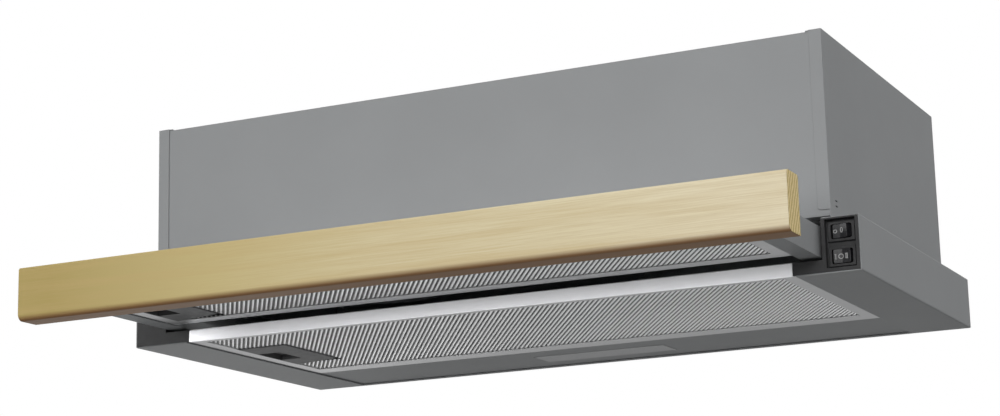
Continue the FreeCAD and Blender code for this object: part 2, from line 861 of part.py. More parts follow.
def lamp_cover():
    """Frosted cover with an upturned rim, hinged along its rear lower edge."""
    body = new_body("lamp_cover")
    half = d.coverwide / 2
    low = d.coverlow
    add(body, "XY", low, low + d.coverthick, area(-half, half, cover_front, cover_rear))
    rim = d.coverrim
    cut(body, "XY", low + rim, low + d.coverthick, area(-half + rim, half - rim, cover_front + rim, cover_rear - rim))
    round_edges(body, 0.4 * d.coverrim, lambda edge, middle: near(middle.z, low)
                and (near(abs(middle.x), half) or near(middle.y, cover_front)))
    return keep(body, "lamp_cover")


def lamp_holder():
    """Screw lamp holder with its foot on the tray's roof."""
    tray_roof = d.lampfloor + d.sheet + d.seam + d.trayhigh - d.traywall
    barrel = rod(d.holderradius, d.holderlong, (-d.holderstart, cover_mid, d.bulbaxis), "X")
    foot = box((-d.holderstart, -d.holderstart + d.holderlong),
               (cover_mid - d.holderradius / 2, cover_mid + d.holderradius / 2), (d.bulbaxis, tray_roof - d.seam))
    socket = rod(d.bulbcap + d.seam, d.holderlong, (-d.holderstart + 4 * d.sheet, cover_mid, d.bulbaxis), "X")
    return keep(less(fused([barrel, foot]), socket), "lamp_holder")


def lamp_bulb():
    """Tubular bulb: screw cap in the holder, round-ended glass."""
    start = -d.holderstart + d.holderlong - d.bulbcaplong
    cap = rod(d.bulbcap, d.bulbcaplong + d.bulbcap, (start, cover_mid, d.bulbaxis), "X")
    glass_start = -d.holderstart + d.holderlong + d.sheet
    glass = rod(d.bulbradius, d.bulblong, (glass_start, cover_mid, d.bulbaxis), "X")
    dome = doc.addObject("Part::Sphere", "Sphere")
    bind(dome, "Radius", d.bulbradius)
    for axis, value in zip("xyz", (glass_start + d.bulblong, cover_mid, d.bulbaxis)):
        bind(dome, ".Placement.Base." + axis, value)
    return keep(fused([cap, glass, dome]), "lamp_bulb")


# ---------------------------------------------------------------- filters

class Cassette:
    """The levels of one filter cassette, which its frame, layers and latch share."""

    def __init__(self, half, ends, low, borders, tongue):
        self.half = half
        self.front, self.rear = ends
        self.low = low
        self.top = low + d.filterhigh
        self.front_border, self.rear_border = borders
        self.middle = (self.front + self.rear) / 2
        self.tongue = tongue
        self.latch_start = -self.half + d.filterborder + d.seam
        self.latch_end = self.latch_start + d.latchwide
        self.slide_low = low + d.latchslidelow
        self.slide_high = self.slide_low + d.latchslidehigh


    def latch_outline(self, grown):
        """The housing seen from below: a plate with one slanted end, or the slightly larger room for it."""
        start, end = self.latch_start - grown, self.latch_end + grown
        front = self.middle - d.latchlong / 2 - grown
        rear = self.middle + d.latchlong / 2 + grown
        return [(start, front), (end, front), (end, rear - d.latchslant), (start, rear)]


main_filter = Cassette(bay_half - d.filtergap, (d.mainfront, main_rear), d.mainlow,
                       (d.filterfrontborder, d.filterrearborder), d.maintongue)
slide_filter = Cassette(side_outer - d.sidefoot - d.filtergap + d.seam, (-d.slidefilterfront, -d.slidefilterrear),
                        d.slidefilterlow, (d.slidefilterborder, d.slidefilterborder), d.slidetongue)


def latch_room(cassette):
    """The space that the latch housing takes out of the layers."""
    room = new_body("room")
    add(room, "XY", cassette.low - PAST, cassette.top - d.filterwall, cassette.latch_outline(d.seam))
    return room


def tongue_room(cassette, xs):
    """The slot that the latch's tongue runs in, between two levels along X."""
    half = d.tonguewide / 2 + d.play
    return box(xs, (cassette.middle - half, cassette.middle + half),
               (cassette.slide_low - d.play, cassette.slide_high + d.play))


def filter_frame(name, cassette):
    """Channel section all round, open inwards, with a window, two tabs and a slot for the latch."""
    half = cassette.half
    border = d.filterborder
    whole = box((-half, half), (cassette.front, cassette.rear), (cassette.low, cassette.top))
    tabs = []
    for place in tab_places(cassette.front, cassette.rear):
        tabs.append(box((half - border, half + d.tabout), (place - d.tabwide / 2, place + d.tabwide / 2),
                        (cassette.low + d.tabup, cassette.low + d.tabup + d.tabthick)))
    window = box((-half + border, half - border),
                 (cassette.front + cassette.front_border, cassette.rear - cassette.rear_border),
                 (cassette.low - PAST, cassette.top + PAST))
    wall = d.filterwall
    groove = box((-half + wall, half - wall), (cassette.front + wall, cassette.rear - wall),
                 (cassette.low + wall, cassette.top - wall))
    slot = tongue_room(cassette, (-half - PAST, -half + wall + PAST))
    frame = less(less(whole, groove), fused([window, slot]))
    hooks = less(fused(tabs), groove_stop(cassette))
    return keep(fused([frame, hooks]), name)


def groove_stop(cassette):
    """Keeps the tabs out of the frame's groove, where the layers lie."""
    return box((cassette.half - d.filterborder - PAST, cassette.half - d.filterwall), (cassette.front, cassette.rear),
               (cassette.low, cassette.top))


def filter_layers(name, cassette, levels, thick):
    """Sheets of expanded metal, drawn plain, with room for the latch housing and its tongue."""
    inset = d.filterwall + d.seam
    layers = []
    for level in levels:
        layer = box((-cassette.half + inset, cassette.half - inset), (cassette.front + inset, cassette.rear - inset),
                    (level, level + thick))
        tongue = tongue_room(cassette, (-cassette.half, cassette.latch_start))
        layers.append(less(less(layer, latch_room(cassette)), tongue))
    return keep(grouped(layers), name)


def latch_housing(name, cassette):
    """Moulded housing: a plate flush with the filter, a finger pocket and a track for the latch."""
    body = new_body(name)
    low = cassette.low - d.latchproud
    start = cassette.latch_start
    inside = start + d.latchskin
    add(body, "XY", low, cassette.low + d.latchceiling, cassette.latch_outline(0))
    half = d.latchpocketlong / 2
    near_side, far_side = cassette.middle - half, cassette.middle + half
    cut(body, "XY", low, cassette.slide_low, area(inside, inside + d.latchopen, near_side, far_side))
    cavity = area(inside + d.latchopen, inside + d.latchcavity, near_side, far_side)
    cut(body, "XY", cassette.low + d.latchskin, cassette.slide_low, cavity)
    track_low, track_high = cassette.slide_low - d.play, cassette.slide_high + d.play
    cut(body, "XY", track_low, track_high, area(inside, start + d.latchreach, near_side, far_side))
    slot = d.tonguewide / 2 + d.play
    cut(body, "XY", track_low, track_high, area(start, inside, cassette.middle - slot, cassette.middle + slot))
    round_edges(body, 2 * d.sheet, lambda edge, middle: near(middle.x, cassette.latch_end)
                and edge.Length < d.latchceiling.number * 2)
    return keep(body, name)


def latch(name, cassette):
    """Slider with its tongue through the frame and a rib for the finger."""
    body = new_body(name)
    start = cassette.latch_start + d.latchskin + d.play
    half = d.latchpocketlong / 2 - d.play
    end = start + d.latchplate
    tip = -cassette.half - cassette.tongue
    middle = cassette.middle
    outline = [(start, middle - half), (end, middle - half), (end, middle + half), (start, middle + half),
               (start, middle + d.tonguewide / 2), (tip, middle + d.tonguewide / 2),
               (tip, middle - d.tonguewide / 2), (start, middle - d.tonguewide / 2)]
    add(body, "XY", cassette.slide_low, cassette.slide_high, outline)
    rib = area(end - d.latchrib, end, middle - half, middle + half)
    add(body, "XY", cassette.low + d.latchskin + d.play, cassette.slide_low, rib)
    return keep(body, name)


def latch_spring(name, cassette):
    """Bowed leaf between the latch and the end of its track."""
    body = new_body(name)
    left = cassette.latch_start + d.latchskin + d.play + d.latchplate + d.seam
    right = cassette.latch_start + d.latchreach - d.seam
    half = d.latchpocketlong / 2 - 2 * d.play
    middle = cassette.middle
    outline = [(left, middle - half), (left + d.springwire, middle - half), (right, middle),
               (left + d.springwire, middle + half), (left, middle + half), (right - 2 * d.springwire, middle)]
    low = (cassette.slide_low + cassette.slide_high - d.springhigh) / 2
    add(body, "XY", low, low + d.springhigh, outline)
    return keep(body, name)


def cassette_nodes(prefix, cassette):
    """Everything that one filter is made of."""
    inset = d.filterwall + d.seam
    low = cassette.low + inset
    top = cassette.top - inset
    filter_frame(prefix + "_filter_frame", cassette)
    filter_layers(prefix + "_filter_mesh", cassette, [low, top - d.facemesh], d.facemesh)
    pitch = (top - low - 2 * d.facemesh) / (SIZES["corelayers"] + 1)
    between = [low + d.facemesh + pitch * number - d.coremesh / 2 for number in range(1, SIZES["corelayers"] + 1)]
    filter_layers(prefix + "_filter_core", cassette, between, d.coremesh)
    latch_housing(prefix + "_latch_housing", cassette)
    latch(prefix + "_latch", cassette)
    latch_spring(prefix + "_latch_spring", cassette)


# ---------------------------------------------------------------- drawer

bar_back = -d.drawerout


def bar_screw_places():
    places = []
    for number in range(SIZES["barscrews"]):
        places.append((d.barscrewpitch * (number - (SIZES["barscrews"] - 1) / 2), d.barscrewup))
    return places


def grip_bar():
    """Solid wooden bar with rounded long edges and blind holes for its screws."""
    body = new_body("grip_bar")
    half = canopy_half
    front = bar_back - d.barthick
    top = d.barlow + d.barhigh
    add(body, "YZ", -half, half, area(front, bar_back, d.barlow, top))
    holes = [(u, v, screw_hole) for u, v in bar_screw_places()]
    depth = d.screwlong + d.screwheadhigh
    cut_discs(body, "XZ", bar_back - depth, bar_back, holes)
    round_edges(body, d.barround, lambda edge, middle: near(middle.y, front) and near(middle.z, d.barlow))
    round_edges(body, d.barsoft, lambda edge, middle: near(middle.z, top)
                and (near(middle.y, front) or near(middle.y, bar_back)))
    return keep(body, "grip_bar")


def bar_bracket():
    """Angle that the bar is screwed to; its foot lies over the filter's front edge."""
    body = new_body("bar_bracket")
    start = bar_back + d.seam
    low = slide_filter.top + d.filterclear
    profile = [(start, low), (start + d.bracketfoot, low), (start + d.bracketfoot, low + d.sheet),
               (start + d.sheet, low + d.sheet), (start + d.sheet, low + d.bracketleg), (start, low + d.bracketleg)]
    reach = side_outer - d.sheet - d.seam
    add(body, "YZ", -reach, reach, profile)
    holes = [(u, v, screw_hole) for u, v in bar_screw_places()]
    cut_discs(body, "XZ", start, start + d.sheet, holes)
    return keep(body, "bar_bracket")


def drawer_side(name, side):
    """Folded side: web, top flange, foot that shows beside the filter and a lip along the filter."""
    body = new_body(name)
    outer = side_outer
    top = d.sidelow + d.sidehigh
    lip = outer - d.sidefoot
    profile = [(outer, d.sidelow), (outer, top), (outer - d.sidetop, top), (outer - d.sidetop, top - d.sheet),
               (outer - d.sheet, top - d.sheet), (outer - d.sheet, d.sidelow + d.sheet),
               (lip + d.sheet, d.sidelow + d.sheet), (lip + d.sheet, d.sidelow + d.sidelip),
               (lip, d.sidelow + d.sidelip), (lip, d.sidelow)]
    add(body, "XZ", bar_back + d.sheet + 2 * d.seam, d.sideback, handed(side, profile))
    filt = slide_filter
    if side > 0:
        for place in tab_places(filt.front, filt.rear):
            low = filt.low + d.tabup
            slot = area(place - d.tabwide / 2 - d.play, place + d.tabwide / 2 + d.play, low - d.play,
                        low + d.tabthick + d.play)
            cut(body, "YZ", lip, lip + d.sheet, slot)
    else:
        slot = area(filt.middle - d.tonguewide / 2 - d.play, filt.middle + d.tonguewide / 2 + d.play,
                    filt.slide_low - d.play, filt.slide_high + d.play)
        cut(body, "YZ", -lip - d.sheet, -lip, slot)
    return keep(body, name)


def drawer_cross():
    """Angle behind the drawer's filter; it ties the sides and lies over the filter's rear edge."""
    body = new_body("drawer_cross")
    face = slide_filter.rear + d.play
    low = slide_filter.top + d.filterclear
    reach = side_outer - d.sheet - d.seam
    add(body, "XY", low, low + d.sheet, area(-reach, reach, face - d.crossfoot, face + d.sheet))
    half = side_outer - d.sidefoot - d.play
    add(body, "XY", d.sidelow + d.sheet, low, area(-half, half, face, face + d.sheet))
    return keep(body, "drawer_cross")


# ---------------------------------------------------------------- slides

slide_out = canopy_half - d.slidein          # fixed members' outer face
slide_in = slide_out - d.outerdeep


def channel(xs, ys, zs, open_side):
    """A slide member: a channel of slide sheet, open to one side along X."""
    low_x, high_x = xs
    shell = box(xs, ys, zs)
    if open_side > 0:
        inside = (low_x + d.slidesheet, high_x + PAST)
    else:
        inside = (low_x - PAST, high_x - d.slidesheet)
    room = box(inside, (ys[0] - PAST, ys[1] + PAST), (zs[0] + d.slidesheet, zs[1] - d.slidesheet))
    return less(shell, room)


def slide_member(name, xs, ys, high, opening):
    """The same member on both sides, mirrored."""
    zs = (d.slidemid - high / 2, d.slidemid + high / 2)
    right = channel(xs, ys, zs, opening)
    left = channel((-xs[1], -xs[0]), ys, zs, -opening)
    return keep(grouped([left, right]), name)


def slides():
    inner_start = side_outer + d.seam
    slide_member("slide_inner", (inner_start, inner_start + d.innerdeep),
                 (d.slidestart, d.slidestart + d.innerlong), d.innerhigh, 1)
    ends = (d.slidestart, d.canopydeep - d.slideback)
    slide_member("slide_outer", (slide_in, slide_out), ends, d.outerhigh, -1)


def ball_places():
    """Ball centres on the right-hand slide, upper and lower row."""
    gap = (d.outerhigh / 2 - d.slidesheet - d.innerhigh / 2) / 2
    rise = d.innerhigh / 2 + gap
    places = []
    for number in range(SIZES["cageballs"]):
        along = d.cagestart + d.cagelong / 2 + d.ballpitch * (number - (SIZES["cageballs"] - 1) / 2)
        for way in (-1, 1):
            places.append((slide_out - d.ballin, along, d.slidemid + way * rise))
    return places


def ball_cages():
    """Thin cages that carry the balls, drilled through both flanges."""
    ends = (d.cagestart, d.cagestart + d.cagelong)
    outside = slide_out - d.slidesheet - d.play - d.cageplay
    inside = slide_in + d.cageplay
    rise = (d.outerhigh / 2 - d.slidesheet + d.innerhigh / 2) / 2 + d.cagesheet / 2
    cages = []
    for side in (-1, 1):
        xs = (inside, outside) if side > 0 else (-outside, -inside)
        shell = box(xs, ends, (d.slidemid - rise, d.slidemid + rise))
        hollow = (inside - PAST, outside - d.cagesheet) if side > 0 else (d.cagesheet - outside, PAST - inside)
        room = box(hollow, (ends[0] - PAST, ends[1] + PAST),
                   (d.slidemid - rise + d.cagesheet, d.slidemid + rise - d.cagesheet))
        drills = []
        for across, along, up in ball_places():
            drills.append(rod(d.cagehole, 2 * d.cagesheet, (side * across, along, up - d.cagesheet)))
        cages.append(less(shell, fused([room] + drills)))
    return keep(grouped(cages), "ball_cages")


def slide_balls():
    balls = []
    for side in (-1, 1):
        for across, along, up in ball_places():
            ball = doc.addObject("Part::Sphere", "Ball")
            bind(ball, "Radius", d.ballradius)
            for axis, value in zip("xyz", (side * across, along, up)):
                bind(ball, ".Placement.Base." + axis, value)
            balls.append(ball)
    return keep(grouped(balls), "slide_balls")


def slide_brackets():
    """Four folded brackets between the fixed slide members and the canopy's side walls."""
    low = d.slidemid - d.outerhigh / 2
    inner = slide_out + d.seam
    outer = canopy_inner - d.seam
    brackets = []
    for side in (-1, 1):
        for start in (d.bracketfront, d.canopydeep - d.bracketback):
            ys = (start, start + d.bracketlong)
            leaves = []
            for left, right, bottom, top in ((inner, inner + d.slidesheet, low, low + d.outerhigh),
                                             (inner, outer, low, low + d.slidesheet),
                                             (outer - d.slidesheet, outer, low, low + d.outerhigh)):
                xs = (left, right) if side > 0 else (-right, -left)
                leaves.append(box(xs, ys, (bottom, top)))
            brackets.append(fused(leaves))
    return keep(grouped(brackets), "slide_brackets")


# ---------------------------------------------------------------- outlet

flap_level = top_high + d.seam + d.flapaxis
flap_seat = flap_level - d.flapthick / 2 - d.play


def outlet_spigot():
    """Moulded spigot for the duct: flange, straight seat, tapered mouth and a ledge for the flaps."""
    body = new_body("outlet_spigot")
    outer = d.spigotradius
    inner = outer - d.spigotwall
    foot = top_high + d.seam
    mouth = foot + d.spigothigh
    seat_low = flap_seat - d.flapseatthick
    profile = [(inner, foot), (outer + d.spigotflange, foot), (outer + d.spigotflange, foot + d.spigotflangethick),
               (outer, foot + d.spigotflangethick), (outer, mouth - d.spigottaper), (outer - 1, mouth),
               (inner, mouth), (inner, flap_seat), (inner - d.flapseat, flap_seat), (inner - d.flapseat, seat_low)]
    turn(body, profile)
    holes = [(u - outlet_x, v - d.outletmid, screw_hole) for u, v in flange_screws()]
    cut_discs(body, "XY", foot, foot + d.spigotflangethick, holes)
    cut_discs(body, "YZ", -outer, outer, [(0, flap_level, d.flappin + d.pinplay)])
    return keep(body, "outlet_spigot", (outlet_x, d.outletmid, 0))


def flap_pin():
    length = 2 * d.spigotradius - d.spigotwall
    start = (outlet_x - length / 2, d.outletmid, flap_level)
    return keep(grouped([rod(d.flappin, length, start, "X")]), "flap_pin")


def flap(name, side):
    """Half disc with knuckles round the pin; the other flap's knuckles take turns with its own."""
    low = -d.flapthick / 2
    disc = rod(d.flapradius, d.flapthick, (0, 0, low))
    ys = (d.flapedge, d.flapradius + PAST)
    if side < 0:
        ys = (-ys[1], -ys[0])
    half = doc.addObject("Part::Common", "Half")
    half.Base = disc
    half.Tool = box((-d.flapradius, d.flapradius), ys, (low, -low))
    pieces = [half]
    pitch = d.flapknuckle + d.flapgap
    starts = (-2 * pitch, term(0)) if side < 0 else (-pitch, pitch)
    for start in starts:
        place = start + d.flapgap / 2
        pieces.append(rod(d.flapbarrel, d.flapknuckle, (place, 0, 0), "X"))
        arm = (term(0), d.flapedge + PAST)
        if side < 0:
            arm = (-arm[1], term(0))
        pieces.append(box((place, place + d.flapknuckle), arm, (low, -low)))
    drill = rod(d.flappin + d.pinplay, 2 * d.flapradius, (-d.flapradius, 0, 0), "X")
    return keep(less(fused(pieces), drill), name, (outlet_x, d.outletmid, flap_level))


# ---------------------------------------------------------------- blower

def volute_outline(inset):
    """Closed wire of the volute seen from above: three growing quarters, duct and outlet round."""
    start = d.scrollstart.number
    step = d.scrollstep.number
    centre = FreeCAD.Vector(-fan_x.number - step / 2, d.fany.number - step / 2, 0)
    outlet = FreeCAD.Vector(outlet_x.number, d.outletmid.number, 0)
    second = centre + FreeCAD.Vector(0, step, 0)
    third = second + FreeCAD.Vector(step, 0, 0)
    rear = third.y + start + 2 * step
    round_radius = rear - outlet.y
    tongue_angle = math.radians(d.tongueangle.number)

    def on_circle(middle, radius, angle):
        return middle + FreeCAD.Vector(radius * math.cos(angle), radius * math.sin(angle), 0)

    def quarter(middle, radius, first, last):
        return Part.Arc(on_circle(middle, radius, first), on_circle(middle, radius, (first + last) / 2),
                        on_circle(middle, radius, last))

    right = math.pi / 2
    curves = [quarter(centre, start, tongue_angle, -right),
              quarter(second, start + step, -right, -2 * right),
              quarter(third, start + 2 * step, -2 * right, -3 * right),
              Part.LineSegment(FreeCAD.Vector(third.x, rear, 0), FreeCAD.Vector(outlet.x, rear, 0)),
              quarter(outlet, round_radius, right, -right),
              quarter(outlet, round_radius, -right, -2 * right),
              Part.LineSegment(on_circle(outlet, round_radius, 2 * right), on_circle(centre, start, tongue_angle))]
    wire = Part.Wire([curve.toShape() for curve in curves])
    if inset:
        wire = wire.makeOffset2D(-inset, 0, False, False, True)
    return wire


def volute_slab(inset, low, high):
    """The volute's outline, raised between two levels."""
    face = Part.Face(volute_outline(inset))
    face.translate(FreeCAD.Vector(0, 0, low.number))
    return face.extrude(FreeCAD.Vector(0, 0, high.number - low.number))


def upright(radius, low, high, across, along):
    """An upright cylinder as a bare shape."""
    foot = FreeCAD.Vector(term(across).number, term(along).number, term(low).number)
    return Part.makeCylinder(term(radius).number, (term(high) - low).number, foot)


def shaped(name, shape):
    """A sub-part whose outline is worked out in code; its placement comes after its shape."""
    feature = doc.addObject("Part::Feature", name)
    feature.Shape = shape.removeSplitter()
    return keep(feature, name)


def volute_lower():
    """Lower half of the volute: floor, wall and the flared inlet mouth."""
    wall = d.scrollwall.number
    shell = volute_slab(0, scroll_floor, scroll_split)
    shell = shell.cut(volute_slab(wall, scroll_floor + d.scrollwall, scroll_split + PAST))
    lip = upright(d.inletradius + d.scrollwall, scroll_floor - d.inletlip, scroll_floor, -fan_x, d.fany)
    shell = shell.fuse(lip)
    mouth = upright(d.inletradius, scroll_floor - d.inletlip, scroll_floor + d.scrollwall, -fan_x, d.fany)
    flare = Part.makeCone((d.inletradius + d.inletflare).number, d.inletradius.number, d.inletlip.number,
                          FreeCAD.Vector(-fan_x.number, d.fany.number, (scroll_floor - d.inletlip).number))
    return shaped("volute_lower", shell.cut(mouth).cut(flare))


def volute_upper():
    """Upper half: wall, roof with the motor's hole, the outlet's neck and the fixing posts."""
    wall = d.scrollwall.number
    shell = volute_slab(0, scroll_split + d.seam, scroll_roof)
    shell = shell.cut(volute_slab(wall, scroll_split, scroll_roof - d.scrollwall))
    under_top = top_low - d.seam
    inner = d.spigotradius - d.spigotwall
    neck = upright(inner + d.neckwall, scroll_roof - d.scrollwall, under_top, outlet_x, d.outletmid)
    shell = shell.fuse(neck)
    for across, along in flange_screws():
        shell = shell.fuse(upright(d.postradius, scroll_roof - d.scrollwall, under_top, across, along))
    for across, along in post_centres():
        shell = shell.fuse(upright(d.postradius, scroll_roof - d.scrollwall, under_top, across, along))
    shell = shell.cut(upright(inner, scroll_split, under_top + PAST, outlet_x, d.outletmid))
    shell = shell.cut(upright(d.motorhole, scroll_split, scroll_roof + PAST, -fan_x, d.fany))
    for across, along in flange_screws() + post_centres():
        shell = shell.cut(upright(screw_hole, under_top - d.screwlong, under_top + PAST, across, along))
    return shaped("volute_upper", shell)


def impeller():
    """Forward-curved wheel: back plate with hub, curved blades and a ring round the inlet end."""
    body = new_body("impeller")
    outer = d.impellerradius
    low = impeller_low
    top = low + d.impellerhigh
    plate = top - d.impellerplate
    ring_in = outer - d.impellerring
    hub_low = top - d.hubhigh
    bore = d.shaftradius + d.pinplay
    turn(body, [(bore, hub_low), (d.hubradius, hub_low), (d.hubradius, plate), (outer, plate), (outer, top),
                (bore, top)])
    doc.recompute()
    base = body.Tip
    blade = blade_sketch(body, low)
    pad = raise_sketch(body, blade, "XY", low, plate)
    doc.recompute()
    fan = body.newObject("PartDesign::PolarPattern", "Blades")
    fan.Originals = [pad]
    fan.Axis = (blade, ["N_Axis"])
    fan.Angle = 360
    fan.Occurrences = SIZES["blades"]
    body.Tip = fan
    doc.recompute()
    sketch = new_sketch(body, "XY", low)
    draw_circles(sketch, [(0, 0, outer), (0, 0, ring_in)])
    raise_sketch(body, sketch, "XY", low, low + d.impellerring)
    return keep(body, "impeller", (-fan_x, d.fany, 0))


def blade_sketch(body, level):
    """One blade's section: a thin crescent between two arcs of the same width."""
    sketch = new_sketch(body, "XY", level)
    inner = d.impellerinner.number
    outer = (d.impellerradius - 2 * d.seam).number
    thick = d.bladethick.number
    bulge = d.bladebulge.number
    sweep = math.radians(d.bladesweep.number)
    low = FreeCAD.Vector(inner, 0, 0)
    high = FreeCAD.Vector(outer * math.cos(sweep), outer * math.sin(sweep), 0)
    along = high - low
    across = FreeCAD.Vector(along.y, -along.x, 0).normalize()
    middle = (low + high) * 0.5 + across * bulge
    shift = across * thick
    front = Part.Arc(low, middle, high)
    back = Part.Arc(low + shift, middle + shift, high + shift)
    sketch.addGeometry([front, Part.LineSegment(high, high + shift), back, Part.LineSegment(low + shift, low)], False)
    return sketch


def motor_shaft():
    low = impeller_low + d.impellerhigh - d.hubhigh - PAST
    return keep(grouped([rod(d.shaftradius, shaft_top - low, (-fan_x, d.fany, low))]), "motor_shaft")


def motor():
    """Motor can on the volute's roof: foot plate, boss down through the roof, bore for the shaft."""
    body = new_body("motor")
    boss = scroll_roof - d.scrollwall
    foot = scroll_roof + d.bushhigh
    can = foot + d.motorfootthick
    top = top_low - d.motordown
    bore = d.shaftradius + d.motorplay
    bore_top = shaft_top + d.motorplay
    turn(body, [(bore, boss), (d.motorboss, boss), (d.motorboss, foot), (d.motorfoot, foot), (d.motorfoot, can),
                (d.motorradius, can), (d.motorradius, top - d.motorsoft), (d.motorradius - d.motorsoft, top),
                (0, top), (0, bore_top), (bore, bore_top)])
    return keep(body, "motor", (-fan_x, d.fany, 0))


def motor_bushes():
    """Rubber bushes between the volute's roof and the motor's foot."""
    bushes = []
    for number in range(SIZES["bushes"]):
        angle = 2 * math.pi * number / SIZES["bushes"] + math.pi / 6
        at = (-fan_x + d.bushring * math.cos(angle), d.fany + d.bushring * math.sin(angle), scroll_roof)
        bushes.append(rod(d.bushradius, d.bushhigh, at))
    return keep(grouped(bushes), "motor_bushes")


# ---------------------------------------------------------------- electrics and screws

def control_box():
    body = new_body("control_box")
    top = top_low - d.seam
    xs = (d.boxmid - d.boxwide / 2, d.boxmid + d.boxwide / 2)
    ys = (d.boxfront, d.boxfront + d.boxdeep)
    low = top - d.boxhigh
    add(body, "XY", low, top, area(xs[0], xs[1], ys[0], ys[1]))
    wall = d.boxwall
    cut(body, "XY", low + wall, top, area(xs[0] + wall, xs[1] - wall, ys[0] + wall, ys[1] - wall))
    corners = lambda edge, middle: (near(middle.z, (low + top) / 2) and any(near(middle.x, x) for x in xs)
                                    and any(near(middle.y, y) for y in ys))
    round_edges(body, d.boxround, corners)
    return keep(body, "control_box")


def capacitor():
    """Run capacitor, clipped under the top panel beside the control box."""
    top = top_low - d.seam
    start = d.boxmid - d.capacitorlong / 2
    can = rod(d.capacitorradius, d.capacitorlong, (start, capacitor_mid, top - d.capacitorradius), "X")
    return keep(grouped([can]), "capacitor")


def cable_gland():
    """Gland in the top panel: flange outside, sleeve through the hole, nut inside, bore for the cord."""
    body = new_body("cable_gland")
    above = top_high + d.seam
    below = top_low - d.seam
    sleeve = d.glandradius - d.seam
    turn(body, [(d.glandbore, below - d.glandthick), (d.glandflange, below - d.glandthick), (d.glandflange, below),
                (sleeve, below), (sleeve, above), (d.glandflange, above), (d.glandflange - 1, above + d.glandthick),
                (d.glandbore, above + d.glandthick)])
    return keep(body, "cable_gland", (d.glandx, gland_y, 0))


def screw(at, axis, way):
    """A pan-head screw: head on a face, shank along the axis in the way given by its sign."""
    x, y, z = at
    shift = {"X": (1, 0, 0), "Y": (0, 1, 0), "Z": (0, 0, 1)}[axis]
    if way > 0:
        head_at = tuple(value - step * d.screwheadhigh for value, step in zip(at, shift))
        shank_at = at
    else:
        head_at = at
        shank_at = tuple(value - step * d.screwlong for value, step in zip(at, shift))
    head = rod(d.screwhead, d.screwheadhigh, head_at, axis)
    shank = rod(d.screwshank, d.screwlong, shank_at, axis)
    return fused([head, shank])


def screws():
    """The screws, grouped by what they hold."""
    top = []
    for across, along in post_centres():
        top.append(screw((term(across), term(along), top_high + d.seam), "Z", -1))
    for across, along in flange_screws():
        flange_top = top_high + 2 * d.seam + d.spigotflangethick
        top.append(screw((term(across), term(along), flange_top), "Z", -1))
    keep(grouped(top), "blower_screws")
    across = casing_half - d.rearflange / 2
    rear = []
    for side in (-1, 1):
        for height in back_screws():
            rear.append(screw((side * across, casing_rear + d.seam, height), "Y", -1))
    keep(grouped(rear), "casing_screws")
    bar = []
    for across, up in bar_screw_places():
        bar.append(screw((term(across), bar_back + 2 * d.seam + d.sheet, up), "Y", -1))
    keep(grouped(bar), "bar_screws")


# ---------------------------------------------------------------- the hood

side_panel("side_panel_left", -1)
side_panel("side_panel_right", 1)
front_panel()
top_panel()
back_panel()
canopy_side("canopy_side_left", -1)
canopy_side("canopy_side_right", 1)
canopy_rear()
front_rail()
front_band()
end_cap("end_cap_left", -1, [])
end_cap("switch_housing", 1, [d.lightmid, d.fanmid])
switch_body("light_switch_body", d.lightmid)
switch_body("fan_switch_body", d.fanmid)
rocker("light_rocker", d.lightmid, -d.lighttilt, d.lightcrest)
rocker("fan_rocker", d.fanmid, 0, d.fancrest)
lamp_panel()
lamp_tray()
lamp_cover()
lamp_holder()
lamp_bulb()
cassette_nodes("main", main_filter)
cassette_nodes("drawer", slide_filter)
grip_bar()
bar_bracket()
drawer_side("drawer_side_left", -1)
drawer_side("drawer_side_right", 1)
drawer_cross()
slides()
ball_cages()
slide_balls()
slide_brackets()
outlet_spigot()
flap_pin()
flap("flap_front", -1)
flap("flap_rear", 1)
volute_lower()
volute_upper()
impeller()
motor_shaft()
motor()
motor_bushes()
control_box()
capacitor()
cable_gland()
screws()

doc.recompute()


def check():
    """Stops on a failed feature, an invalid sub-part or a pocket that took nothing away."""
    for feature in doc.Objects:
        if "Invalid" in feature.State or "Error" in feature.State:
            raise RuntimeError("failed: %s in %s" % (feature.Name, feature.Label))
        if feature.TypeId == "PartDesign::Pocket":
            base = feature.BaseFeature.Shape.Volume
            if feature.Shape.Volume > base - 1e-6:
                raise RuntimeError("%s cuts nothing" % feature.Name)
    for part in SUBPARTS:
        if part.Shape.isNull() or not part.Shape.isValid() or not part.Shape.Solids:
            raise RuntimeError("bad shape: " + part.Label)


check()
os.makedirs("parts", exist_ok=True)
for part in SUBPARTS:
    part.Shape.exportStep("parts/%s.step" % part.Label)
print(len(SUBPARTS), "sub-parts")
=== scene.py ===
"""Looks of a pull-out range hood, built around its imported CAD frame."""

import math

import bpy
from mathutils import Matrix, Vector
from mathutils.bvhtree import BVHTree


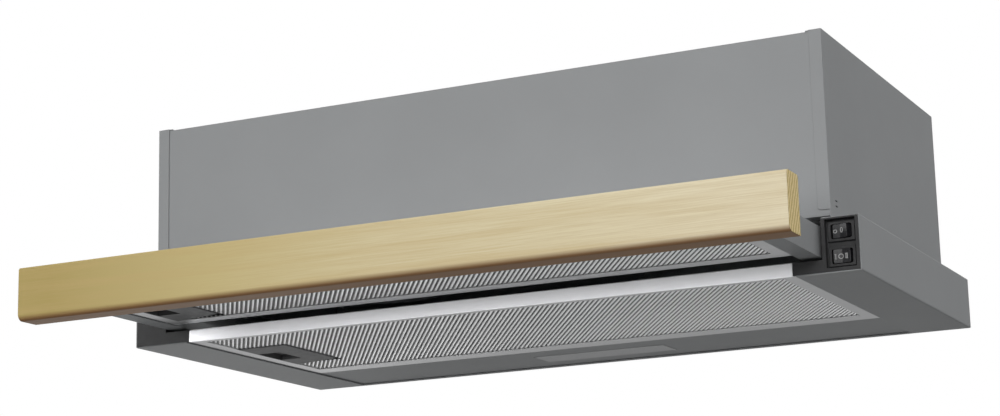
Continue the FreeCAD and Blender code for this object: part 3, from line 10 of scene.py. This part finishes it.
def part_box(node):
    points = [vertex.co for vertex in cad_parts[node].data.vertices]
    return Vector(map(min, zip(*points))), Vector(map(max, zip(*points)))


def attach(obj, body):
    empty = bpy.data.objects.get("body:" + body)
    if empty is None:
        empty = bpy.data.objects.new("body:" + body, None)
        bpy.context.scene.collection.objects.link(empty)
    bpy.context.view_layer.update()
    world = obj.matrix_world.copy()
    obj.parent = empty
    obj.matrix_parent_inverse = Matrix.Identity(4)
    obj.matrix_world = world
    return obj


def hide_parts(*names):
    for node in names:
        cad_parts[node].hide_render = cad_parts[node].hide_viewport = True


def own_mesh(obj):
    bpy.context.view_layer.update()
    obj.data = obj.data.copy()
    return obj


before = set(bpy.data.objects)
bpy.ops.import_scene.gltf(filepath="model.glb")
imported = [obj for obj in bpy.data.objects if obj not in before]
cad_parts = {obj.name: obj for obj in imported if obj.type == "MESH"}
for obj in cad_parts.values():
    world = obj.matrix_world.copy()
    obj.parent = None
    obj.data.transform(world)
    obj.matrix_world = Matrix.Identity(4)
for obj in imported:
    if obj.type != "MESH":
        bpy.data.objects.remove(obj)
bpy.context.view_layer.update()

MM = 0.001
WHITE = (1.0, 1.0, 1.0, 1.0)


# ---------------------------------------------------------------- materials

def add_node(tree, kind, inputs=None, **fields):
    """A node with its fields set, and each input set or linked."""
    made = tree.nodes.new(kind)
    for key, value in fields.items():
        setattr(made, key, value)
    for key, value in (inputs or {}).items():
        join(tree, value, made.inputs[key])
    return made


def join(tree, value, target):
    """A socket is linked to the target, and a plain value set on it."""
    if isinstance(value, bpy.types.NodeSocket):
        tree.links.new(value, target)
    else:
        target.default_value = value


class Finish:
    """One procedural material, on the object's own coordinates."""

    def __init__(self, name, colour, roughness, metallic=0.0, **sockets):
        self.material = bpy.data.materials.new(name)
        self.material.use_nodes = True
        self.tree = self.material.node_tree
        self.shader = self.tree.nodes["Principled BSDF"]
        self.set("Base Color", (*colour, 1.0))
        self.set("Roughness", roughness)
        self.set("Metallic", metallic)
        for socket, value in sockets.items():
            self.set(socket.replace("_", " "), value)
        self.place = self.node("ShaderNodeTexCoord").outputs["Object"]
        self.normal = None

    def set(self, socket, value):
        """A value or another socket for one of the shader's inputs."""
        join(self.tree, value, self.shader.inputs[socket])

    def node(self, kind, inputs=None, **fields):
        return add_node(self.tree, kind, inputs, **fields)

    def noise(self, stretch, detail=3.0, rough=0.5, distort=0.0):
        """Noise with `stretch` waves a metre along x, y and z."""
        place = self.node("ShaderNodeMapping", {"Vector": self.place, "Scale": stretch})
        return self.node("ShaderNodeTexNoise", {
            "Vector": place.outputs[0], "Scale": 1.0, "Detail": detail,
            "Roughness": rough, "Distortion": distort}).outputs["Fac"]

    def even_noise(self, waves, detail=3.0, rough=0.5):
        """Noise with the same waves a metre in all directions."""
        return self.noise((waves, waves, waves), detail, rough)

    def ramp(self, source, *stops):
        """Colours or levels along `source`: pairs of place and value."""
        made = self.node("ShaderNodeValToRGB", {"Fac": source})
        ramp = made.color_ramp
        while len(ramp.elements) < len(stops):
            ramp.elements.new(0.5)
        for element, (at, value) in zip(ramp.elements, stops):
            element.position = at
            element.color = (*value, 1.0) if isinstance(value, tuple) else (value, value, value, 1.0)
        return made.outputs["Color"]

    def blend(self, factor, one, other):
        """`one`, mixed towards the colour `other` by the factor."""
        made = self.node("ShaderNodeMix", data_type="RGBA")
        for name, value in (("Factor", factor), ("A", one), ("B", other)):
            join(self.tree, value, [s for s in made.inputs if s.name == name and s.enabled][0])
        return [s for s in made.outputs if s.enabled][0]

    def stain(self, body, source, strong, none, share, colour):
        """`body` with a share of a colour where `source` is at strong, and nothing of it at none."""
        ends = sorted(((strong, share), (none, 0.0)))
        return self.blend(self.ramp(source, *ends), body, (*colour, 1.0))

    def maths(self, how, one, other=0.0):
        return self.node("ShaderNodeMath", {0: one, 1: other}, operation=how).outputs[0]

    def levels(self, source, low, high, first=0.0, last=1.0):
        """`source`, from first to last, as a value from low to high."""
        return self.node("ShaderNodeMapRange", {
            "Value": source, "From Min": first, "From Max": last,
            "To Min": low, "To Max": high}).outputs["Result"]

    def soften(self, radius):
        """Edges that catch the light as bent and moulded ones do."""
        self.normal = self.node("ShaderNodeBevel", {"Radius": radius}, samples=4).outputs["Normal"]
        self.set("Normal", self.normal)

    def bump(self, source, depth, strength):
        inputs = {"Height": source, "Distance": depth, "Strength": strength}
        if self.normal:
            inputs["Normal"] = self.normal
        self.normal = self.node("ShaderNodeBump", inputs).outputs["Normal"]
        self.set("Normal", self.normal)

    def tone(self, source, low, high):
        """The base colour from low to high over the middle of `source`."""
        self.set("Base Color", self.ramp(source, (0.3, low), (0.7, high)))

    def tint(self, source, colour, darker, lighter):
        """The base colour between two multiples of `colour`."""
        self.tone(source, *(tuple(c * factor for c in colour) for factor in (darker, lighter)))

    def gloss(self, source, low, high):
        """The roughness from low to high along `source`."""
        self.set("Roughness", self.levels(source, low, high))


def painted(name, colour, roughness):
    """Satin sheet paint: faint cloudiness and a fine orange peel."""
    made = Finish(name, colour, roughness, Specular_IOR_Level=0.02)
    made.tint(made.even_noise(9), colour, 0.97, 1.03)
    made.gloss(made.even_noise(260, detail=4), roughness - 0.05, roughness + 0.06)
    made.soften(0.5 * MM)
    made.bump(made.even_noise(900), depth=0.03 * MM, strength=0.5)
    return made


def brushed(name, colour, roughness, grain):
    """Brushed metal: hairlines along the stretched direction of `grain`."""
    made = Finish(name, colour, roughness, metallic=1.0, Anisotropic=0.55)
    lines = made.noise(grain, detail=4, rough=0.65)
    made.tint(lines, colour, 0.9, 1.04)
    made.gloss(lines, roughness - 0.07, roughness + 0.1)
    made.soften(0.4 * MM)
    made.bump(lines, depth=0.02 * MM, strength=0.6)
    return made


def satin(name, colour, roughness):
    """Anodised metal: hairlines too fine to see singly, and a calm sheen."""
    made = Finish(name, colour, roughness, metallic=1.0)
    lines = made.noise((6, 2600, 2600), rough=0.6)
    made.tint(lines, colour, 0.975, 1.02)
    made.gloss(lines, roughness - 0.02, roughness + 0.03)
    made.soften(0.3 * MM)
    made.bump(lines, depth=0.004 * MM, strength=0.4)
    return made


def galvanised(name, colour, roughness):
    """Zinc-coated metal with its small crystals."""
    made = Finish(name, colour, roughness, metallic=1.0)
    crystals = made.node("ShaderNodeTexVoronoi", {"Vector": made.place, "Scale": 190.0})
    made.tint(crystals.outputs["Color"], colour, 0.82, 1.08)
    made.gloss(made.even_noise(500), roughness - 0.08, roughness + 0.1)
    made.soften(0.4 * MM)
    return made


def moulded(name, colour, roughness, grain, depth, specular=0.5):
    """Moulded plastic with a spark-eroded grain."""
    made = Finish(name, colour, roughness, Specular_IOR_Level=specular)
    made.tint(made.even_noise(120, detail=4), colour, 0.85, 1.15)
    texture = made.even_noise(grain, detail=2, rough=0.6)
    made.gloss(texture, roughness - 0.06, roughness + 0.08)
    made.soften(0.35 * MM)
    made.bump(texture, depth, strength=0.7)
    return made


def clear_plastic(name, colour, roughness):
    """Frosted plastic that lets a little light through."""
    made = Finish(name, colour, roughness, Transmission_Weight=0.1, IOR=1.49)
    made.bump(made.even_noise(1200), depth=0.04 * MM, strength=0.5)
    made.gloss(made.even_noise(300), 0.36, 0.5)
    return made


def clear_glass(name, colour, roughness):
    made = Finish(name, colour, roughness, Transmission_Weight=0.9, IOR=1.45)
    made.gloss(made.even_noise(60), 0.02, 0.08)
    return made


def speckled(name, colour, roughness, low, high, waves, specular=0.5):
    """Matt and uneven, between two greys."""
    made = Finish(name, colour, roughness, Specular_IOR_Level=specular)
    made.tone(made.even_noise(waves), (low,) * 3, (high,) * 3)
    return made


BAR_HALF = 0.3      # half the grip bar's length
BAR_TONE_AND_LIGHT = (     # from its left end to its right end: the wood's own tone with painted light in it, darker and yellower towards the left, and paler with a painted sheen towards the right
    (0.05, (0.43, 0.335, 0.125)), (0.28, (0.555, 0.465, 0.225)), (0.52, (0.665, 0.58, 0.37)),
    (0.74, (0.715, 0.635, 0.435)), (0.95, (0.77, 0.69, 0.505)))
RING_COLOURS = (
    (0.15, (0.60, 0.44, 0.17)), (0.4, (0.80, 0.65, 0.32)), (0.95, (0.86, 0.70, 0.37)))
RING_SLANT = 0.45


def long_grain(made, fibre, painted_shade_below):
    """Wood cut along its fibres, with painted shade that turns it dark brown where it faces down, and painted
    light along its length.
    """
    across = made.node("ShaderNodeSeparateXYZ", {"Vector": made.place}).outputs["X"]
    # The colour along the bar is partly painted light: painted falloff towards the left end, painted sheen
    # towards the right end.
    body = made.ramp(made.levels(across, 0.0, 1.0, -BAR_HALF, BAR_HALF), *BAR_TONE_AND_LIGHT)
    broad = made.noise((1.6, 20, 20), distort=0.4)
    figure = made.noise((5, 130, 130), rough=0.55, distort=0.5)
    fleck = made.noise((170, 1000, 1000), detail=2)
    body = made.stain(body, broad, strong=0.36, none=0.6, share=0.2, colour=(0.50, 0.37, 0.17))
    body = made.stain(body, figure, strong=0.34, none=0.54, share=0.34, colour=(0.53, 0.39, 0.18))
    body = made.stain(body, fibre, strong=0.38, none=0.58, share=0.3, colour=(0.50, 0.37, 0.18))
    body = made.stain(body, fleck, strong=0.78, none=0.7, share=0.14, colour=(0.42, 0.28, 0.13))
    # Painted shade: faces turned down are made dark brown, as if in shadow.
    return made.stain(body, painted_shade_below, strong=0.85, none=0.2, share=0.95, colour=(0.26, 0.135, 0.06))


def end_grain(made):
    """Wood cut across its fibres: slanting year rings and pores."""
    slant = made.node("ShaderNodeMapping", {"Vector": made.place, "Rotation": (RING_SLANT, 0.0, 0.0)})
    rings = made.node("ShaderNodeTexWave", {
        "Vector": slant.outputs[0], "Scale": 80.0, "Distortion": 2.0, "Detail": 2.0,
        "Detail Scale": 1.5}, wave_type="BANDS", bands_direction="Y").outputs["Fac"]
    pores = made.even_noise(900, rough=0.6)
    body = made.ramp(rings, *RING_COLOURS)
    return made.stain(body, pores, strong=0.35, none=0.5, share=0.25, colour=(0.30, 0.20, 0.09))


def maple(name, colour, roughness):
    """Pale close-grained wood, its fibres along x, with end grain where it is cut across."""
    made = Finish(name, colour, roughness, Specular_IOR_Level=0.02)
    facing = made.node("ShaderNodeSeparateXYZ", {
        "Vector": made.node("ShaderNodeNewGeometry").outputs["True Normal"]}).outputs
    fibre = made.noise((24, 1500, 1500), detail=4, rough=0.7)
    # How far each face turns down, for the painted shade underneath.
    body = long_grain(made, fibre, made.maths("MULTIPLY", facing["Z"], -1.0))
    cut = made.ramp(made.maths("ABSOLUTE", facing["X"]), (0.8, 0.0), (0.95, 1.0))
    made.set("Base Color", made.blend(cut, body, end_grain(made)))
    made.gloss(fibre, 0.34, 0.5)
    made.soften(1.2 * MM)
    made.bump(fibre, depth=0.02 * MM, strength=0.3)
    return made


# Kind, colour and roughness, and then what each kind's function takes.
HAIRLINES = (40, 700, 700)
FINISHES = {
    "grey_steel": (painted, (0.30, 0.307, 0.312), 0.42),
    "motor_steel": (painted, (0.07, 0.07, 0.075), 0.4),
    "bare_steel": (galvanised, (0.62, 0.63, 0.64), 0.38),
    "screw_steel": (galvanised, (0.7, 0.71, 0.72), 0.3),
    "spring_steel": (brushed, (0.6, 0.6, 0.62), 0.28, (300, 300, 300)),
    "filter_aluminium": (brushed, (0.93, 0.932, 0.935), 0.36, HAIRLINES),
    "frame_aluminium": (brushed, (0.39, 0.392, 0.396), 0.45, HAIRLINES),
    "bright_aluminium": (satin, (0.75, 0.754, 0.775), 0.42),
    "maple": (maple, (0.6, 0.5, 0.3), 0.5),
    "black_plastic": (moulded, (0.034, 0.034, 0.035), 0.5, 2200, 0.05 * MM, 0.25),
    "rocker_plastic": (moulded, (0.014, 0.014, 0.016), 0.28, 900, 0.01 * MM),
    "dark_plastic": (moulded, (0.06, 0.062, 0.065), 0.5, 1800, 0.04 * MM),
    "latch_grey": (moulded, (0.12, 0.121, 0.122), 0.55, 1600, 0.04 * MM, 0.1),
    "blower_plastic": (moulded, (0.12, 0.125, 0.13), 0.5, 1500, 0.03 * MM),
    "rubber": (moulded, (0.025, 0.025, 0.025), 0.7, 1500, 0.03 * MM),
    "white_ceramic": (moulded, (0.8, 0.79, 0.75), 0.2, 400, 0.01 * MM),
    "frosted_plastic": (clear_plastic, (0.27, 0.275, 0.28), 0.5),
    "lamp_glass": (clear_glass, (0.95, 0.96, 0.96), 0.03),
    "core_dark": (speckled, (0.02, 0.02, 0.02), 0.7, 0.012, 0.035, 500, 0.1),
    "print_white": (speckled, (0.42, 0.42, 0.42), 0.6, 0.36, 0.48, 900),
}
finishes = {name: kind(name, *values) for name, (kind, *values) in FINISHES.items()}

# Nodes of both filters that look different from the others in their slot.
FILTER_FINISH = {
    "_latch_housing": "latch_grey", "_latch": "latch_grey",
    "_filter_core": "core_dark", "_filter_frame": "frame_aluminium",
}
own_finish = {prefix + end: finish for prefix in ("main", "drawer") for end, finish in FILTER_FINISH.items()}
for name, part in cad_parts.items():
    for held in part.material_slots:
        slot = held.material.name.split(".")[0]
        held.material = finishes[own_finish.get(name, slot)].material


# ---------------------------------------------------------------- pieces

def piece(name, corners, faces, finish):
    mesh = bpy.data.meshes.new(name)
    mesh.from_pydata([tuple(c) for c in corners], [], faces)
    mesh.update()
    made = bpy.data.objects.new(name, mesh)
    bpy.context.scene.collection.objects.link(made)
    made.data.materials.append(finishes[finish].material)
    return made


BOX_FACES = [(0, 1, 3, 2), (4, 6, 7, 5), (0, 4, 5, 1), (2, 3, 7, 6), (0, 2, 6, 4), (1, 5, 7, 3)]

# Expanded metal: strands in two directions, each tilted about its own length.
DIAMOND = (4.06 * MM, 6.3 * MM)     # along x and along y
STRAND_WIDE = 1.6 * MM
STRAND_THICK = 0.14 * MM
STRAND_TILT = math.radians(-14.6)
STRAND_SHORTEST = 2 * MM
MESH_EDGE = 0.9 * MM                # from the CAD mesh's outline to the strands' ends
MESH_SKIN = 0.22 * MM               # from the CAD mesh's faces to the strands' middles
ENDLESS = 10.0                      # metres, beyond any filter
PARALLEL = 1e-9                     # a direction that never reaches the side


def clipped(start, way, low, high):
    """The part of a line through start that lies in a rectangle, as lengths along way."""
    ends = [-ENDLESS, ENDLESS]
    for axis in range(2):
        if abs(way[axis]) < PARALLEL:
            continue
        one, other = sorted(((low[axis] - start[axis]) / way[axis], (high[axis] - start[axis]) / way[axis]))
        ends = [max(ends[0], one), min(ends[1], other)]
    return ends if ends[1] > ends[0] else None


def pieces_of_line(start, way, low, high, hole):
    """What is left of a line in a rectangle once a rectangular hole is taken out."""
    whole = clipped(start, way, low, high)
    if not whole:
        return []
    gap = clipped(start, way, *hole)
    if not gap:
        return [whole]
    return [(whole[0], min(whole[1], gap[0])), (max(whole[0], gap[1]), whole[1])]


def strand(start, ends, way, flat, stand):
    """The eight corners of one strand."""
    return [start + way * end + flat * (wide * STRAND_WIDE) + stand * (thick * STRAND_THICK)
            for end in ends for wide in (-0.5, 0.5) for thick in (-0.5, 0.5)]


def strands(low, high, level, hole):
    """The strands of one face as boxes: corners and faces."""
    corners, faces = [], []
    across, along = DIAMOND
    length = math.hypot(across, along)
    pitch = across * along / length
    middle = Vector(((low[0] + high[0]) / 2, (low[1] + high[1]) / 2, level))
    count = int(math.hypot(high[0] - low[0], high[1] - low[1]) / 2 / pitch) + 1
    rise, lean = math.sin(STRAND_TILT), math.cos(STRAND_TILT)
    for sign in (1, -1):
        way = Vector((across / length, -sign * along / length, 0))
        side = Vector((along / length, sign * across / length, 0))
        flat = side * lean + Vector((0, 0, rise))
        stand = side * rise - Vector((0, 0, lean))
        for index in range(-count, count + 1):
            start = middle + side * (index * pitch)
            for ends in pieces_of_line(start, way, low, high, hole):
                if ends[1] - ends[0] < STRAND_SHORTEST:
                    continue
                faces += [tuple(len(corners) + i for i in face) for face in BOX_FACES]
                corners += strand(start, ends, way, flat, stand)
    return corners, faces


def expanded_mesh(prefix, body):
    """Both faces of a filter, with the latch's housing left free."""
    low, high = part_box(prefix + "_filter_mesh")
    hole = [(corner.x, corner.y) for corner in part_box(prefix + "_latch_housing")]
    inner_low = (low.x + MESH_EDGE, low.y + MESH_EDGE)
    inner_high = (high.x - MESH_EDGE, high.y - MESH_EDGE)
    corners, faces = [], []
    for level in (low.z + MESH_SKIN, high.z - MESH_SKIN):
        more, shapes = strands(inner_low, inner_high, level, hole)
        faces += [tuple(len(corners) + i for i in face) for face in shapes]
        corners += more
    made = piece(prefix + "_expanded_mesh", corners, faces, "filter_aluminium")
    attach(made, body)
    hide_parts(prefix + "_filter_mesh")


# A latch's bowed leaf spring, its bow as deep as the CAD spring's box allows.
SPRING_WIRE = 0.5 * MM
SPRING_STEPS = 24
ROW_FACES = [(0, 1, 5, 4), (3, 2, 6, 7), (2, 0, 4, 6), (1, 3, 7, 5)]    # from four corners to the next four


def leaf_spring(prefix, body):
    low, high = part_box(prefix + "_latch_spring")
    middle, half = (low.y + high.y) / 2, (high.y - low.y) / 2
    bow = high.x - low.x - SPRING_WIRE
    corners, faces = [], []
    for step in range(SPRING_STEPS + 1):
        reach = 2 * step / SPRING_STEPS - 1
        x = low.x + bow * (1 - reach * reach)
        corners += [(x + wire, middle + half * reach, z)
                    for wire in (0, SPRING_WIRE) for z in (low.z, high.z)]
        if step:
            base = len(corners) - 8
            faces += [tuple(base + i for i in face) for face in ROW_FACES]
    faces += [(0, 2, 3, 1), tuple(len(corners) - i for i in (4, 3, 1, 2))]
    made = piece(prefix + "_leaf_spring", corners, faces, "spring_steel")
    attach(made, body)
    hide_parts(prefix + "_latch_spring")
    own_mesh(made)


for build in (expanded_mesh, leaf_spring):
    build("main", "main_filter")
    build("drawer", "drawer")

# Printed marks of the rockers: strips whose places and sizes are x and z in millimetres.
MARK_LIFT = 0.05 * MM
MARK_LINE = 0.55
MARK_VIEW = 10 * MM     # in front of the rocker, where the strips are laid on from
OVAL_STEPS = 28
UPRIGHT_STEPS = 8
LEVEL_STEPS = 4


def oval(x, z, wide, high):
    """An oval ring: rows of an inner and an outer point."""
    rows = []
    for step in range(OVAL_STEPS + 1):
        turn = math.tau * step / OVAL_STEPS
        rows.append([(x + (wide / 2 - inset) * math.cos(turn), z + (high / 2 - inset) * math.sin(turn))
                     for inset in (MARK_LINE, 0.0)])
    return rows


def upright(x, z, high):
    """A standing stroke."""
    return [[(x + side * MARK_LINE / 2, z + high * (step / UPRIGHT_STEPS - 0.5)) for side in (-1, 1)]
            for step in range(UPRIGHT_STEPS + 1)]


def level_bar(x, z, wide):
    """A short bar across, as the foot or head of an upright."""
    return [[(x + wide * (step / LEVEL_STEPS - 0.5), z + side * MARK_LINE / 2) for side in (-1, 1)]
            for step in range(LEVEL_STEPS + 1)]


def printed(name, strips, rocker, body):
    """Strips of print laid on the front of a rocker."""
    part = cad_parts[rocker]
    surface = BVHTree.FromPolygons([part.matrix_world @ v.co for v in part.data.vertices],
                                   [tuple(p.vertices) for p in part.data.polygons])
    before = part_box(rocker)[0].y - MARK_VIEW
    corners, faces = [], []
    for rows in strips:
        for index, row in enumerate(rows):
            for x, z in row:
                hit = surface.ray_cast(Vector((x * MM, before, z * MM)), Vector((0, 1, 0)))[0]
                corners.append((x * MM, hit.y - MARK_LIFT, z * MM))
            if index:
                last = len(corners) - 1
                faces.append((last - 3, last - 2, last, last - 1))
    made = piece(name, corners, faces, "print_white")
    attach(made, body)


printed("light_marks", [oval(281.5, 29.4, 2.8, 2.8), oval(286.2, 30.1, 2.1, 3.8)],
        "light_rocker", "light_switch_rocker")
printed("fan_marks", [upright(281.2, 11.2, 3.6), level_bar(281.0, 13.0, 1.3), oval(284.9, 11.5, 3.8, 3.8),
                      upright(288.4, 11.6, 3.2), upright(289.4, 11.6, 3.2),
                      level_bar(288.9, 13.2, 2.0), level_bar(288.9, 10.0, 2.0)],
        "fan_rocker", "fan_switch_rocker")


# ---------------------------------------------------------------- stage, light and camera

FLOOR_LEVEL = -3.0
FLOOR_HALF = 60.0
FLOOR_GLOW = 0.5
SKY_COLOUR = (0.93, 0.96, 1.0, 1.0)
SKY_STRENGTH = 0.09


def looked_at(tree):
    """1 for rays that the camera sees, also by reflection or through glass, and 0 for lighting rays."""
    rays = add_node(tree, "ShaderNodeLightPath").outputs
    seen = rays["Is Camera Ray"]
    for kind in ("Is Glossy Ray", "Is Transmission Ray"):
        seen = add_node(tree, "ShaderNodeMath", {0: seen, 1: rays[kind]}, operation="MAXIMUM").outputs[0]
    return seen


def pale_floor():
    """To the camera and in reflections it is as pale as the backdrop, and from below it isn't seen."""
    made = Finish("floor", (0.82, 0.82, 0.81), 0.7)
    made.tone(made.even_noise(1.5), (0.81, 0.81, 0.80), (0.83, 0.83, 0.82))
    seen = looked_at(made.tree)
    backs = made.node("ShaderNodeNewGeometry").outputs["Backfacing"]
    made.set("Emission Color", WHITE)
    made.set("Emission Strength", made.maths("MULTIPLY", seen, FLOOR_GLOW))
    made.set("Alpha", made.maths("SUBTRACT", 1.0, made.maths("MULTIPLY", seen, backs)))
    return made


finishes["floor"] = pale_floor()
floor_corners = [(x * FLOOR_HALF, y * FLOOR_HALF, FLOOR_LEVEL)
                 for x, y in ((-1, -1), (1, -1), (1, 1), (-1, 1))]
floor = piece("floor", floor_corners, [(0, 1, 2, 3)], "floor")

world = bpy.data.worlds.new("studio")
bpy.context.scene.world = world
world.use_nodes = True
sky = world.node_tree
sky.nodes.clear()
plain = add_node(sky, "ShaderNodeBackground", {"Color": SKY_COLOUR, "Strength": SKY_STRENGTH})
white = add_node(sky, "ShaderNodeBackground", {"Color": WHITE, "Strength": 1.0})
mix = add_node(sky, "ShaderNodeMixShader", {"Fac": looked_at(sky), 1: plain.outputs[0], 2: white.outputs[0]})
add_node(sky, "ShaderNodeOutputWorld", {"Surface": mix.outputs[0]})


def lamp(name, place, target, size, power):
    """A rectangular lamp of so many watts, turned to its target."""
    light = bpy.data.lights.new(name, "AREA")
    light.shape = "RECTANGLE"
    light.size, light.size_y = size
    light.energy = power
    made = bpy.data.objects.new(name, light)
    bpy.context.scene.collection.objects.link(made)
    made.location = place
    made.rotation_euler = (Vector(target) - Vector(place)).to_track_quat("-Z", "Y").to_euler()


lamp("key", (0.9, -2.3, 0.8), (0.05, -0.15, 0.08), (1.6, 1.2), 37.0)
lamp("left", (-1.6, -2.1, 0.3), (-0.1, -0.1, 0.05), (1.2, 0.7), 9.0)
lamp("low", (-0.9, -2.3, -0.12), (0.0, -0.1, 0.0), (1.8, 0.3), 12.0)
lamp("right", (2.4, 0.3, 0.9), (0.2, 0.0, 0.08), (1.2, 1.0), 14.5)
lamp("sheen", (-2.1, 2.4, -0.62), (-0.3, 0.0, 0.0), (1.0, 0.5), 2.5)
lamp("top", (0.0, 0.5, 2.2), (0.0, 0.0, 0.1), (1.8, 1.4), 22.0)
lamp("rear", (-0.8, 2.4, 0.9), (0.0, 0.1, 0.1), (1.4, 1.0), 26.0)

# The photograph was taken from below and from the right, with a slight roll.
CAMERA_PLACE = (0.752, -1.5785, -0.296)
AZIMUTH, ELEVATION, ROLL = (math.radians(a) for a in (25.71, -12.52, -1.40))
LENS = 82.94
SENSOR = 36.0
ahead = Vector((-math.sin(AZIMUTH) * math.cos(ELEVATION),
                math.cos(AZIMUTH) * math.cos(ELEVATION), -math.sin(ELEVATION)))
right = ahead.cross(Vector((0, 0, 1))).normalized()
upward = right.cross(ahead)
across = right * math.cos(ROLL) + upward * math.sin(ROLL)
above = upward * math.cos(ROLL) - right * math.sin(ROLL)
view = bpy.data.cameras.new("camera")
view.lens = LENS
view.sensor_width = SENSOR
view.sensor_fit = "HORIZONTAL"
camera = bpy.data.objects.new("camera", view)
bpy.context.scene.collection.objects.link(camera)
camera.matrix_world = Matrix.Translation(CAMERA_PLACE) @ Matrix((across, above, -ahead)).transposed().to_4x4()
bpy.context.scene.camera = camera
bpy.context.scene.view_settings.view_transform = "Standard"
